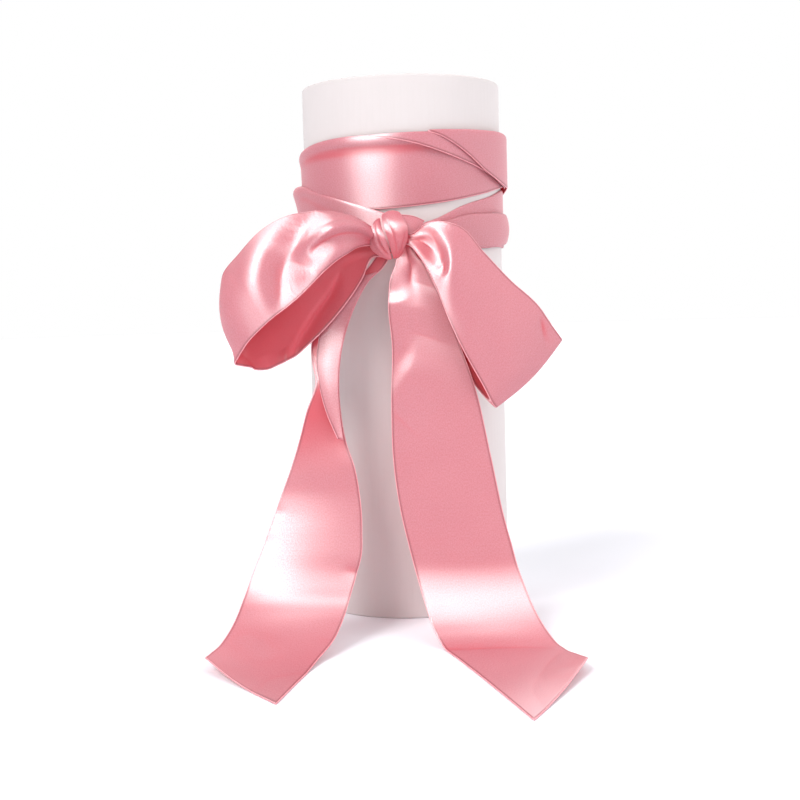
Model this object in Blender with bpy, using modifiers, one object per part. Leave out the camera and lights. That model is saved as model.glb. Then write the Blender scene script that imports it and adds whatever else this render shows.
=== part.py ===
# Skinny satin scarf wound twice round a display cylinder and tied in a bow at the front.
# Sizes are in millimetres until a mesh is made. The origin is the centre of the cylinder's base:
# +X to the viewer's right, +Y away from the viewer, +Z up.
from collections import namedtuple
import math

import bmesh
import bpy
import numpy as np

MM = 0.001

CYLINDER_RADIUS = 60.0
CYLINDER_HEIGHT = 315.0
CYLINDER_ROUNDING = 1.2
CYLINDER_SIDES = 96
ROUNDING_STEPS = 3
SHARP_ANGLE = math.radians(40.0)

# The scarf is one long tube of satin about 55 mm wide, pressed flat, so its two layers make one wall.
CLOTH_WALL = 1.0
# The knot's straps are the same cloth gathered to a quarter of its width, so they are thicker.
STRAP_WALL = 2.2
CLOTH_ON_FLOOR = CLOTH_WALL / 2
KNOT_GATHERS = 3

# One section across the cloth. Bow is how far its middle stands out of the straight line between
# the two edges, fold lifts the first half and sinks the second, and gather is the height of pleats.
Section = namedtuple("Section", "first second bow fold gather", defaults=(0.0, 0.0, 0.0))

# One upright section of a wrap: its angle from the front (positive to the right), the heights
# of its two edges, how far each is from the cylinder's axis, and its bow.
Turn = namedtuple("Turn", "angle low high low_radius high_radius bow", defaults=(0.0,))

UPPER_WRAP = (
    Turn(-100, 236, 272, 61.0, 61.5),
    Turn(-86, 237, 275, 61.0, 62.0),
    Turn(-66, 238, 278, 61.0, 61.6),
    Turn(-35, 239, 280, 61.0, 61.3),
    Turn(-5, 239.5, 280, 61.0, 61.0),
    Turn(20, 242, 280, 61.0, 61.0),
    Turn(47, 247, 281, 61.0, 61.0),
    Turn(72, 252, 282, 61.0, 61.0),
    Turn(92, 254, 281, 61.0, 61.0),
)

UPPER_TURNOVER = (
    Turn(-8, 278.6, 281.2, 62.5, 62.5),
    Turn(7, 275.4, 281.5, 62.5, 62.5),
    Turn(29, 268, 281.8, 62.6, 62.5),
    Turn(43, 263.3, 282.5, 62.6, 62.5),
    Turn(56, 259, 283, 62.6, 62.5),
    Turn(71, 254.5, 283, 62.6, 62.5),
    Turn(92, 253, 282, 62.6, 62.5),
)

UPPER_HALF_TURN = (
    Turn(19, 280.4, 282.4, 64.0, 64.0),
    Turn(29, 275, 283, 64.0, 64.0),
    Turn(37, 269.5, 283.3, 64.1, 64.0),
    Turn(49, 261, 283.6, 64.2, 64.0),
    Turn(60, 256.5, 284, 64.2, 64.0),
    Turn(72, 253.5, 284, 64.2, 64.0),
    Turn(92, 252.5, 283, 64.0, 64.0),
)

BACK_WRAP_OVER = (
    Turn(92.6, 252.5, 283, 63.6, 63.6),
    Turn(112, 247, 285, 63.2, 63.4, 0.4),
    Turn(145, 239, 281, 63.2, 63.4, 0.6),
    Turn(190, 232, 275, 63.2, 63.4, 0.6),
    Turn(230, 226, 267, 63.2, 63.6, 0.4),
    Turn(260, 222, 259, 63.2, 65.5),
)

BACK_WRAP_UNDER = (
    Turn(96.5, 217, 251.5, 61.0, 61.0),
    Turn(130, 218, 256, 61.0, 61.0, 0.4),
    Turn(175, 222, 263, 61.0, 61.0, 0.5),
    Turn(220, 229, 269, 61.0, 61.2, 0.4),
    Turn(259.6, 236, 272, 61.0, 61.5),
)

LOWER_LEFT_WRAP = (
    Turn(-99.4, 222, 259, 63.2, 65.5, -0.4),
    Turn(-86, 220, 257.5, 62.8, 68.4, -1.4),
    Turn(-76, 219, 256, 62.2, 64.6, -0.4),
    Turn(-58, 217, 251.5, 62.1, 62.8),
    Turn(-40, 215, 246.5, 62.1, 62.8),
    Turn(-26, 214, 242, 62.2, 62.8),
    Turn(-12, 215, 237, 62.8, 62.8),
    Turn(-4, 216, 234, 63.2, 63.0),
)

LOWER_RIGHT_WRAP = (
    Turn(3, 217, 228, 62.2, 62.2),
    Turn(17, 217, 232, 61.6, 61.6),
    Turn(35, 217, 240, 61.0, 61.0),
    Turn(56, 217, 245.5, 61.0, 61.0),
    Turn(80, 217, 251, 61.0, 61.0),
    Turn(96, 217, 251.5, 61.0, 61.0),
)

LOWER_RIGHT_FOLD = (
    Turn(4, 217, 227, 64.2, 64.0),
    Turn(12, 216.5, 230, 64.2, 63.6),
    Turn(22, 216, 231.5, 64.0, 63.2),
    Turn(34, 215.6, 234.5, 63.2, 63.2),
    Turn(50, 216, 236, 63.0, 63.4, 0.5),
    Turn(70, 217.5, 236.5, 63.0, 63.8, 1.2),
    Turn(86, 219, 235, 62.8, 63.6, 1.6),
    Turn(98, 222, 233, 62.6, 62.8, 0.6),
)

# The knot's straps run downwards and the tip of cloth behind them runs to the right.
KNOT_FRONT_STRAP = (
    Section((-10.5, -64.3, 230.5), (-2.5, -65.0, 231.5), 0.6),
    Section((-12, -71, 234.5), (-2.5, -71, 236), 1.5),
    Section((-12, -77, 231.5), (0, -77, 232), 2.0),
    Section((-10.8, -81.5, 226.5), (2, -80, 227), 2.5),
    Section((-9, -83, 221), (1.5, -81, 221), 2.5),
    Section((-7.2, -81.5, 214.5), (-1.2, -79.5, 214.5), 1.2),
    Section((-6.2, -79.4, 210), (-3.2, -79, 210.4), 0.3),
)

KNOT_LEFT_STRAP = (
    Section((-15.4, -70, 232), (-13.2, -71.5, 233), 0.2),
    Section((-17.6, -75, 228.5), (-12.6, -78, 228.5), 1.2),
    Section((-19.4, -77.6, 222), (-10.5, -81.8, 222), 1.8),
    Section((-17.8, -77.8, 215.5), (-8.4, -81, 216.2), 1.4),
    Section((-12.4, -78.4, 212), (-7.4, -79.8, 212.4), 0.6),
    Section((-8.9, -78.2, 209.4), (-6.9, -78.8, 209.9), 0.0),
)

KNOT_TIP = (
    Section((3, -74.2, 222.7), (-1.6, -68.8, 235), 1.2),
    Section((6.6, -72, 226), (6, -68, 233.6), 0.8),
    Section((10.2, -70, 229), (11.8, -68.5, 231), 0.2),
)

# The left loop goes out from the knot in front, turns at its left end and comes back behind,
# so both its lower edges show. First is its top edge and second its lower edge.
LEFT_LOOP = (
    Section((-20.6, -72.5, 229), (-20.8, -76.5, 218.6), 1.2, 0.0, 0.4),
    Section((-26, -74, 233), (-25.5, -85, 217), 5.5, 0.0, 0.8),
    Section((-42, -71, 238), (-33, -94, 212), 12.0, 1.5, 0.6),
    Section((-60, -76, 237), (-46, -103, 201), 13.0, 2.0),
    Section((-79, -80, 228), (-62, -104, 187), 12.0, 1.0),
    Section((-92, -82, 215), (-77, -103, 176), 9.0),
    Section((-101, -83, 202), (-90, -98, 163), 6.5),
    Section((-101, -78, 196), (-94, -89, 156), 5.0),
    Section((-96, -74, 192), (-88, -80, 150), 4.0),
    Section((-87, -73, 195), (-71, -77, 153), 3.0),
    Section((-72, -73, 206), (-55, -76.5, 164), 2.0),
    Section((-53, -72, 217), (-37, -76, 182), 1.5, 0.0, 0.4),
    Section((-33, -71.5, 224), (-24, -75.5, 200), 1.0, 0.0, 0.6),
    Section((-18.8, -71.8, 217.6), (-18.4, -73.4, 211.4), 0.3, 0.0, 0.3),
)

# The right loop lies nearly flat and turns sharply at its right end. First is its lower edge
# and second its top edge. The tail hangs between its two layers.
RIGHT_LOOP = (
    Section((3, -77.4, 218.4), (4, -74, 221.8), 0.5, 0.0, 0.3),
    Section((9, -84, 210), (14, -75, 228), 4.0, 0.0, 1.6),
    Section((17, -93, 194), (30, -78, 226.5), 7.0, 1.0, 2.6),
    Section((24, -96, 175), (44, -80, 212), 7.0, 0.5, 1.0),
    Section((32, -96, 157), (59, -77, 196), 6.0),
    Section((42, -93, 138), (75, -73, 181), 4.5),
    Section((47, -90, 128), (84, -69, 168), 3.5),
    Section((48.8, -86, 125.6), (88.6, -66.5, 161.6), 2.5),
    Section((46.5, -81, 127.5), (84, -63.5, 166), 1.0),
    Section((38, -77.5, 138), (73, -64, 177), 0.0),
    Section((33, -73, 152), (56, -64, 193), 0.0),
    Section((22, -70.5, 174), (38, -66, 206), 0.0),
    Section((13, -70, 196), (21, -67, 218), 0.0, 0.0, 0.3),
    Section((4.5, -70.5, 212), (5, -68.2, 219), 0.0),
)

# The tails run down from the knot and out over the floor. First is the left edge.
LEFT_TAIL = (
    Section((-16, -71.6, 210.6), (-10.5, -72.6, 209.6), 0.4),
    Section((-30, -69, 190), (-21.5, -72, 197), 0.6),
    Section((-40, -68.5, 178), (-29, -72, 184), 0.8),
    Section((-49.5, -69, 165), (-35, -74, 168), 1.0),
    Section((-52.5, -72, 153), (-38, -77, 154), 1.0),
    Section((-51.5, -75.5, 142), (-39, -80, 142), 1.0),
    Section((-57, -78, 126), (-38.5, -83, 126), 2.0),
    Section((-61.5, -82, 110), (-36, -87, 109), 3.0),
    Section((-67.5, -86, 92), (-31, -91, 93), 4.0),
    Section((-76, -92, 70), (-28, -95, 69), 4.0),
    Section((-84, -96, 49), (-28.5, -99, 47), 2.5),
    Section((-92, -101, 28), (-33.5, -105, 27), 1.0),
    Section((-98, -107, 14), (-38.5, -109, 14), 0.0),
    Section((-102, -113, 7), (-43, -114, 6), -0.5),
    Section((-105, -122, 4), (-48, -125, 0), -0.5),
    Section((-107.5, -140, 4), (-56, -164, 0), -1.5),
    Section((-107.5, -156, 7), (-66, -214, 0), -2.0),
)

LEFT_TAIL_TURNOVER = (
    Section((-47.5, -72.8, 176), (-33.5, -75, 174), 0.8),
    Section((-50, -74.5, 162), (-36.5, -78, 162), 1.4),
    Section((-51, -77.5, 150), (-38.5, -80.5, 150), 1.8),
    Section((-49.6, -80, 140), (-39, -82.5, 140), 1.6),
    Section((-45.6, -86, 125), (-38.4, -86.2, 125), 1.0),
    Section((-39.8, -90.8, 111), (-36.8, -90.6, 110), 0.2),
)

RIGHT_TAIL = (
    Section((-2, -76.6, 213.6), (5, -76, 211.6), 0.5, 0.0, 0.3),
    Section((-4.5, -76.6, 207), (10.5, -77, 207), 1.5, 0.0, 1.2),
    Section((-8, -81, 199), (14, -80, 199), 2.0, 0.0, 1.6),
    Section((-9, -84, 185), (20, -81, 187), 2.5, 0.5, 0.5),
    Section((-8, -86, 162), (29, -83, 162), 2.5, 1.0),
    Section((-9, -88, 132), (37.5, -86.5, 136), 2.5),
    Section((-9, -92, 98), (45, -90.5, 98), 2.5),
    Section((-5, -98, 66), (51.5, -95, 64), 2.5),
    Section((1.5, -104, 37), (58, -99, 37), 1.5),
    Section((6.5, -109, 18), (64, -104, 18), 0.0),
    Section((10, -114, 7), (69, -110, 9), -0.5),
    Section((14.5, -124, 0), (74, -120, 3), -0.5),
    Section((27, -162, 0), (79, -135, 1), -1.0),
    Section((40, -205, 0), (83, -153, 3), -1.5),
    Section((52, -246, 0), (86, -174, 7), -2.0),
)


def remove_scene_objects():
    for item in list(bpy.data.objects):
        bpy.data.objects.remove(item, do_unlink=True)


def make_collection(name):
    collection = bpy.data.collections.new(name)
    bpy.context.scene.collection.children.link(collection)
    return collection


def make_material(name, colour, roughness):
    material = bpy.data.materials.new(name)
    material.use_nodes = True
    shader = material.node_tree.nodes["Principled BSDF"]
    shader.inputs["Base Color"].default_value = (*colour, 1.0)
    shader.inputs["Roughness"].default_value = roughness
    return material


def add_part(collection, name, shape, material):
    mesh = bpy.data.meshes.new(name)
    shape.to_mesh(mesh)
    shape.free()
    mesh.shade_smooth()
    mesh.set_sharp_from_angle(angle=SHARP_ANGLE)
    mesh.materials.append(material)
    part = bpy.data.objects.new(name, mesh)
    collection.objects.link(part)
    return part


def add_cylinder(collection, material):
    shape = bmesh.new()
    bmesh.ops.create_cone(shape, cap_ends=True, segments=CYLINDER_SIDES, radius1=CYLINDER_RADIUS * MM,
                          radius2=CYLINDER_RADIUS * MM, depth=CYLINDER_HEIGHT * MM)
    bmesh.ops.translate(shape, verts=shape.verts, vec=(0.0, 0.0, CYLINDER_HEIGHT * MM / 2))
    cylinder = add_part(collection, "display_cylinder", shape, material)
    rounding = cylinder.modifiers.new("rounded_rims", "BEVEL")
    rounding.width = CYLINDER_ROUNDING * MM
    rounding.segments = ROUNDING_STEPS
    rounding.limit_method = "ANGLE"
    rounding.angle_limit = SHARP_ANGLE


def smooth_rows(rows, place, steps):
    """Rows of values read at even steps of their place, along a smooth curve through them."""
    slopes = np.gradient(rows, place, axis=0)
    wanted = np.linspace(place[0], place[-1], steps)
    span = np.clip(np.searchsorted(place, wanted, side="right") - 1, 0, len(rows) - 2)
    width = (place[span + 1] - place[span])[:, None]
    part = (wanted[:, None] - place[span][:, None]) / width
    start = 2 * part**3 - 3 * part**2 + 1
    leave = (part**3 - 2 * part**2 + part) * width
    end = 3 * part**2 - 2 * part**3
    arrive = (part**3 - part**2) * width
    return start * rows[span] + leave * slopes[span] + end * rows[span + 1] + arrive * slopes[span + 1]


def cloth_surface(sections, along, across):
    """The middle surface of a free stretch of cloth, as a grid of points in millimetres."""
    rows = np.array([(*s.first, *s.second, s.bow, s.fold, s.gather) for s in sections], float)
    middles = (rows[:, 0:3] + rows[:, 3:6]) / 2
    distances = np.linalg.norm(np.diff(middles, axis=0), axis=1)
    rows = smooth_rows(rows, np.concatenate([[0.0], np.cumsum(distances)]), along)
    first, second = rows[:, 0:3], rows[:, 3:6]
    run = np.gradient((first + second) / 2, axis=0)
    outward = np.cross(run, second - first)
    outward = (outward / np.linalg.norm(outward, axis=1, keepdims=True))[:, None, :]
    place = np.linspace(0.0, 1.0, across)[None, :]
    bow, fold, gather = rows[:, 6:7], rows[:, 7:8], rows[:, 8:9]
    pleats = np.sin(math.tau * KNOT_GATHERS * place) * np.sin(math.pi * place)
    lift = bow * np.sin(math.pi * place) + fold * np.sin(math.tau * place) + gather * pleats
    surface = first[:, None, :] + (second - first)[:, None, :] * place[:, :, None]
    surface = surface + outward * lift[:, :, None]
    surface[:, :, 2] = np.maximum(surface[:, :, 2], CLOTH_ON_FLOOR)
    return surface


def wrap_surface(turns, along, across):
    """The middle surface of a stretch that lies round the cylinder, smoothed by its angle."""
    table = np.array(turns, float)
    rows = smooth_rows(table, table[:, 0], along)
    angle = np.radians(rows[:, 0:1])
    low, high, low_radius, high_radius, bow = (rows[:, column:column + 1] for column in range(1, 6))
    place = np.linspace(0.0, 1.0, across)[None, :]
    height = low + (high - low) * place
    radius = low_radius + (high_radius - low_radius) * place + bow * np.sin(math.pi * place)
    return np.stack([radius * np.sin(angle), -radius * np.cos(angle), height], axis=2)


def add_cloth(collection, name, surface, material, wall=CLOTH_WALL):
    """A wall of cloth with its outer face half a single cloth outside the given surface."""
    along, across = surface.shape[:2]
    shape = bmesh.new()
    bmesh.ops.create_grid(shape, x_segments=across - 1, y_segments=along - 1, size=1.0)
    for corner, point in zip(shape.verts, surface.reshape(-1, 3)):
        corner.co = point * MM
    bmesh.ops.reverse_faces(shape, faces=shape.faces)
    cloth = add_part(collection, name, shape, material)
    thickness = cloth.modifiers.new("wall", "SOLIDIFY")
    thickness.thickness = wall * MM
    thickness.offset = CLOTH_WALL / wall - 1.0


def build_wraps(collection, satin):
    wraps = (
        ("upper_wrap", UPPER_WRAP, 33, 4),
        ("upper_wrap_turnover", UPPER_TURNOVER, 22, 4),
        ("upper_wrap_half_turn", UPPER_HALF_TURN, 18, 4),
        ("back_wrap_over", BACK_WRAP_OVER, 29, 4),
        ("back_wrap_under", BACK_WRAP_UNDER, 29, 4),
        ("lower_left_wrap", LOWER_LEFT_WRAP, 21, 5),
        ("lower_right_wrap", LOWER_RIGHT_WRAP, 20, 5),
        ("lower_right_wrap_fold", LOWER_RIGHT_FOLD, 21, 5),
    )
    for name, turns, along, across in wraps:
        add_cloth(collection, name, wrap_surface(turns, along, across), satin)


def build_knot(collection, satin):
    straps = (("knot_front_strap", KNOT_FRONT_STRAP, 14, 7), ("knot_left_strap", KNOT_LEFT_STRAP, 12, 6))
    for name, sections, along, across in straps:
        add_cloth(collection, name, cloth_surface(sections, along, across), satin, STRAP_WALL)
    add_cloth(collection, "knot_tip", cloth_surface(KNOT_TIP, 6, 5), satin)


def build_bow(collection, satin):
    stretches = (
        ("left_loop", LEFT_LOOP, 38, 10),
        ("right_loop", RIGHT_LOOP, 38, 10),
        ("left_tail", LEFT_TAIL, 38, 7),
        ("left_tail_turnover", LEFT_TAIL_TURNOVER, 14, 5),
        ("right_tail", RIGHT_TAIL, 38, 10),
    )
    for name, sections, along, across in stretches:
        add_cloth(collection, name, cloth_surface(sections, along, across), satin)


remove_scene_objects()
scarf_parts = make_collection("skinny_scarf_on_display_cylinder")
white_card = make_material("white_card", (0.86, 0.85, 0.84), 0.6)
pink_satin = make_material("pink_satin", (0.72, 0.27, 0.30), 0.35)
add_cylinder(scarf_parts, white_card)
build_wraps(scarf_parts, pink_satin)
build_knot(scarf_parts, pink_satin)
build_bow(scarf_parts, pink_satin)
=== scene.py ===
# A skinny satin scarf wound twice round a white display cylinder and tied in a bow at the front.
# Tables are in millimetres and Blender's objects in metres: +X to the viewer's right, +Y away, +Z up.
import math
from collections import namedtuple

import bpy
import numpy as np
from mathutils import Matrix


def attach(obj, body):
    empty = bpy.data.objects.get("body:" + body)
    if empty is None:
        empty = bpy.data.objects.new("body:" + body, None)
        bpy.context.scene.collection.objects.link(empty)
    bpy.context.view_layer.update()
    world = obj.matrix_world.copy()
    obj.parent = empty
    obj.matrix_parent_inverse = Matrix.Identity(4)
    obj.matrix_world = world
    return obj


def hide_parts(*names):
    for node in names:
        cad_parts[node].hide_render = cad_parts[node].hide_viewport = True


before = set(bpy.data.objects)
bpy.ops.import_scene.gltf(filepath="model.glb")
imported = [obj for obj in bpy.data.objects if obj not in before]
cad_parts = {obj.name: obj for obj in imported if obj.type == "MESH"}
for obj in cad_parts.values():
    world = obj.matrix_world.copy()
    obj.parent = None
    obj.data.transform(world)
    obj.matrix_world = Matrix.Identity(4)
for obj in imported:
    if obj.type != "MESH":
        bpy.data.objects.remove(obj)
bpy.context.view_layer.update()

# Camera and lights. The picture was taken from a little above the bow with a long lens, and lit by
# one large soft lamp from the front left in a white studio. A wide panel round the lamp shows only
# as the soft shine on the satin, and two weak lamps fill the shadows.
camera_data = bpy.data.cameras.new("camera")
camera_data.lens = 58.42
camera_data.sensor_width = 36.0
camera = bpy.data.objects.new("camera", camera_data)
camera.location = (0.0, -0.8089, 0.1918)
camera.rotation_euler = [math.radians(angle) for angle in (85.208, 1.576, 0.240)]
bpy.context.scene.collection.objects.link(camera)
bpy.context.scene.camera = camera
bpy.context.scene.view_settings.view_transform = "Standard"


def add_node(tree, kind, settings=None, values=None, links=None):
    """A node with its settings, the values of its sockets and the sockets that feed it."""
    node = tree.nodes.new(kind)
    for name, setting in (settings or {}).items():
        setattr(node, name, setting)
    for socket, value in (values or {}).items():
        node.inputs[socket].default_value = value
    for socket, source in (links or {}).items():
        tree.links.new(source, node.inputs[socket])
    return node


for name, power, spread, turned, lights, shines in (
        ("large_soft_lamp", 2.35, 28.0, (45.0, 0.0, -42.0), True, True),
        ("wide_shine_panel", 10.0, 42.0, (45.0, 0.0, -42.0), False, True),
        ("weak_front_lamp", 0.4, 40.0, (80.0, 0.0, 0.0), True, False),
        ("weak_right_lamp", 0.7, 50.0, (72.0, 0.0, 52.0), True, False)):
    lamp_data = bpy.data.lights.new(name, "SUN")
    lamp_data.energy = power
    lamp_data.angle = math.radians(spread)
    lamp = bpy.data.objects.new(name, lamp_data)
    lamp.rotation_euler = [math.radians(angle) for angle in turned]
    lamp.visible_diffuse, lamp.visible_glossy = lights, shines
    bpy.context.scene.collection.objects.link(lamp)

studio = bpy.data.worlds.new("white_studio")
studio.use_nodes = True
studio.node_tree.nodes.clear()
direction = add_node(studio.node_tree, "ShaderNodeTexCoord")
towards_backdrop = add_node(studio.node_tree, "ShaderNodeVectorMath", {"operation": "DOT_PRODUCT"},
                            {1: (0.64, 0.71, 0.30)}, {0: direction.outputs["Generated"]})
brightness = add_node(studio.node_tree, "ShaderNodeMapRange", {"interpolation_type": "SMOOTHSTEP"}, {
    "From Min": -0.3, "From Max": 0.7, "To Min": 0.34, "To Max": 1.4},
    {"Value": towards_backdrop.outputs["Value"]})
white = (1.0, 1.0, 1.0, 1.0)
room = add_node(studio.node_tree, "ShaderNodeBackground", values={"Color": white},
                links={"Strength": brightness.outputs[0]})
backdrop = add_node(studio.node_tree, "ShaderNodeBackground", values={"Color": white, "Strength": 1.0})
rays = add_node(studio.node_tree, "ShaderNodeLightPath")
seen = add_node(studio.node_tree, "ShaderNodeMixShader", links={
    0: rays.outputs["Is Camera Ray"], 1: room.outputs[0], 2: backdrop.outputs[0]})
add_node(studio.node_tree, "ShaderNodeOutputWorld", links={"Surface": seen.outputs[0]})
bpy.context.scene.world = studio


# Floor: a plain pale studio sweep, which isn't part of the object.
def to_linear(code):
    """Linear colour from an sRGB code such as #ffffff."""
    parts = [int(code[place:place + 2], 16) / 255 for place in (1, 3, 5)]
    return [part / 12.92 if part <= 0.04045 else ((part + 0.055) / 1.055) ** 2.4 for part in parts] + [1.0]


def new_material(name):
    """A material with an empty tree, and the tree."""
    material = bpy.data.materials.new(name)
    material.use_nodes = True
    material.node_tree.nodes.clear()
    return material, material.node_tree


bpy.ops.mesh.primitive_circle_add(vertices=64, radius=6.0, fill_type="NGON", location=(0, 0, 0))
floor = bpy.context.object
floor.name = "floor"
floor_paper, tree = new_material("white_studio_paper")
paper = add_node(tree, "ShaderNodeBsdfPrincipled", values={
    "Base Color": to_linear("#e6e6ec"), "Roughness": 0.85, "Specular IOR Level": 0.1,
    "Emission Color": to_linear("#ffffff"), "Emission Strength": 0.08})
add_node(tree, "ShaderNodeOutputMaterial", links={"Surface": paper.outputs[0]})
floor.data.materials.append(floor_paper)

# Display cylinder: one smooth card tube with closed ends, covered in plain matt white paper.
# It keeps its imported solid. The paper's fibres only roughen its surface slightly.

# The places of a colour mix's sockets: its share, its two colours and its result.
SHARE, FIRST_COLOUR, SECOND_COLOUR, MIXED = 0, 6, 7, 2


def mix_colours(tree, share, first, second):
    """A colour between two, which are sRGB codes or sockets, as far as the share's socket says."""
    given = {FIRST_COLOUR: first, SECOND_COLOUR: second}
    codes = {place: to_linear(colour) for place, colour in given.items() if isinstance(colour, str)}
    sockets = {place: colour for place, colour in given.items() if place not in codes}
    mix = add_node(tree, "ShaderNodeMix", {"data_type": "RGBA"}, codes, {SHARE: share, **sockets})
    return mix.outputs[MIXED]


def rescaled(tree, value, old_range, new_range):
    """A socket's value carried from one range to another."""
    ends = dict(zip(("From Min", "From Max", "To Min", "To Max"), (*old_range, *new_range)))
    return add_node(tree, "ShaderNodeMapRange", values=ends, links={"Value": value}).outputs[0]


cylinder_paper, tree = new_material("matt_white_covering_paper")
place = add_node(tree, "ShaderNodeTexCoord")
fibres = add_node(tree, "ShaderNodeTexNoise", values={"Scale": 900.0, "Detail": 3.0, "Roughness": 0.6},
                  links={"Vector": place.outputs["Object"]})
clouds = add_node(tree, "ShaderNodeTexNoise", values={"Scale": 14.0, "Detail": 2.0},
                  links={"Vector": place.outputs["Object"]})
tint = mix_colours(tree, clouds.outputs["Fac"], "#cfc8c7", "#d4cdcc")
dullness = rescaled(tree, fibres.outputs["Fac"], (0.0, 1.0), (0.55, 0.72))
relief = add_node(tree, "ShaderNodeBump", values={"Strength": 0.25, "Distance": 0.00005},
                  links={"Height": fibres.outputs["Fac"]})
paper = add_node(tree, "ShaderNodeBsdfPrincipled", values={"Specular IOR Level": 0.1}, links={
    "Base Color": tint, "Roughness": dullness, "Normal": relief.outputs[0]})
add_node(tree, "ShaderNodeOutputMaterial", links={"Surface": paper.outputs[0]})
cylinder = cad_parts["display_cylinder"]
for place_in_list in range(len(cylinder.material_slots)):
    cylinder.material_slots[place_in_list].material = cylinder_paper

# Scarf, inner turn: one strip of double satin, pressed flat, crosses the front at the top, goes round
# behind and comes back to the knot lower down on the right. Its long floating threads give broad soft
# highlights, and light that passes through its two layers comes out redder. Its deeper red between the
# layers, in creases and where other parts shade it is painted shade.
satin, tree = new_material("pressed_double_satin")
flat_map = add_node(tree, "ShaderNodeUVMap", {"uv_map": "cloth"})
thread_stretch = add_node(tree, "ShaderNodeMapping", values={"Scale": (16.0, 10.0, 1.0)},
                          links={"Vector": flat_map.outputs[0]})
# Real floats are about 0.1 mm wide; these are drawn 0.6 mm wide so that the grain shows.
threads = add_node(tree, "ShaderNodeTexNoise", values={"Scale": 1.0, "Detail": 2.0, "Roughness": 0.6},
                   links={"Vector": thread_stretch.outputs[0]})
dye = add_node(tree, "ShaderNodeTexNoise", values={"Scale": 0.35, "Detail": 2.0},
               links={"Vector": flat_map.outputs[0]})
thread_range = (0.35, 0.65)
pink = mix_colours(tree, dye.outputs["Fac"], "#d48893", "#dc949e")
grain = rescaled(tree, threads.outputs["Fac"], thread_range, (0.0, 0.48))
grained_pink = mix_colours(tree, grain, pink, "#c25c6a")
# Painted shade: the cloth turns a deeper red in its creases, on the loops' inner faces and where other
# parts shade it, as far as this attribute says.
depth = add_node(tree, "ShaderNodeAttribute", {"attribute_name": "painted_shade_pink"})
pink_with_painted_shade = mix_colours(tree, depth.outputs["Fac"], grained_pink, "#d84c5b")
# Painted shade: a dark line along each sewn edge, where the groove beside the bead lies in shade.
edge = add_node(tree, "ShaderNodeAttribute", {"attribute_name": "edge_mm"})
seam = rescaled(tree, edge.outputs["Fac"], (0.4, 1.5), (0.8, 0.0))
pink_with_painted_seam_shade = mix_colours(tree, seam, pink_with_painted_shade, "#8f3846")
gloss = rescaled(tree, threads.outputs["Fac"], thread_range, (0.4, 0.6))
weave = add_node(tree, "ShaderNodeBump", values={"Strength": 0.8, "Distance": 0.00009},
                 links={"Height": threads.outputs["Fac"]})
along_threads = add_node(tree, "ShaderNodeTangent", {"direction_type": "UV_MAP", "uv_map": "cloth"})
face = add_node(tree, "ShaderNodeBsdfPrincipled", values={
    "IOR": 1.7, "Specular IOR Level": 1.0, "Anisotropic": 0.88}, links={
    "Base Color": pink_with_painted_seam_shade, "Roughness": gloss, "Normal": weave.outputs[0],
    "Tangent": along_threads.outputs[0]})
through = add_node(tree, "ShaderNodeBsdfTranslucent", values={"Color": to_linear("#f5606e")})
let_through = 0.25
cloth = add_node(tree, "ShaderNodeMixShader", values={SHARE: let_through},
                 links={1: face.outputs[0], 2: through.outputs[0]})
add_node(tree, "ShaderNodeOutputMaterial", links={"Surface": cloth.outputs[0]})

# The turned seam along each edge holds four layers of the same satin, so it is a firm bead. Its paler
# pink is a painted highlight along the rolled edge.
seam_satin, tree = new_material("turned_seam_of_satin")
place = add_node(tree, "ShaderNodeTexCoord")
puckers = add_node(tree, "ShaderNodeTexNoise", values={"Scale": 700.0, "Detail": 1.0},
                   links={"Vector": place.outputs["Object"]})
bead_pink = mix_colours(tree, puckers.outputs["Fac"], "#da7f8a", "#eda9b0")
pucker_relief = add_node(tree, "ShaderNodeBump", values={"Strength": 0.4, "Distance": 0.0001},
                         links={"Height": puckers.outputs["Fac"]})
bead = add_node(tree, "ShaderNodeBsdfPrincipled", values={"Roughness": 0.45, "Specular IOR Level": 0.6},
                links={"Base Color": bead_pink, "Normal": pucker_relief.outputs[0]})
add_node(tree, "ShaderNodeOutputMaterial", links={"Surface": bead.outputs[0]})

# A round bead drawn along a line of points.
seam_tree = bpy.data.node_groups.new("turned_seam", "GeometryNodeTree")
seam_tree.interface.new_socket("Line", in_out="INPUT", socket_type="NodeSocketGeometry")
for name in ("Bead Radius", "Point Spacing"):
    seam_tree.interface.new_socket(name, in_out="INPUT", socket_type="NodeSocketFloat")
seam_inputs = {socket.name: socket.identifier for socket in seam_tree.interface.items_tree}
seam_tree.interface.new_socket("Bead", in_out="OUTPUT", socket_type="NodeSocketGeometry")
given = add_node(seam_tree, "NodeGroupInput")
path = add_node(seam_tree, "GeometryNodeMeshToCurve", links={"Mesh": given.outputs["Line"]})
even_path = add_node(seam_tree, "GeometryNodeResampleCurve", {"mode": "LENGTH"}, links={
    "Curve": path.outputs[0], "Length": given.outputs["Point Spacing"]})
ring = add_node(seam_tree, "GeometryNodeCurvePrimitiveCircle", values={"Resolution": 8}, links={
    "Radius": given.outputs["Bead Radius"]})
tube = add_node(seam_tree, "GeometryNodeCurveToMesh", values={"Fill Caps": True}, links={
    "Curve": even_path.outputs[0], "Profile Curve": ring.outputs[0]})
soft_tube = add_node(seam_tree, "GeometryNodeSetShadeSmooth", links={0: tube.outputs[0]})
real_tube = add_node(seam_tree, "GeometryNodeRealizeInstances", links={0: soft_tube.outputs[0]})
pink_tube = add_node(seam_tree, "GeometryNodeSetMaterial", values={"Material": seam_satin},
                     links={0: real_tube.outputs[0]})
add_node(seam_tree, "NodeGroupOutput", links={0: pink_tube.outputs[0]})

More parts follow.
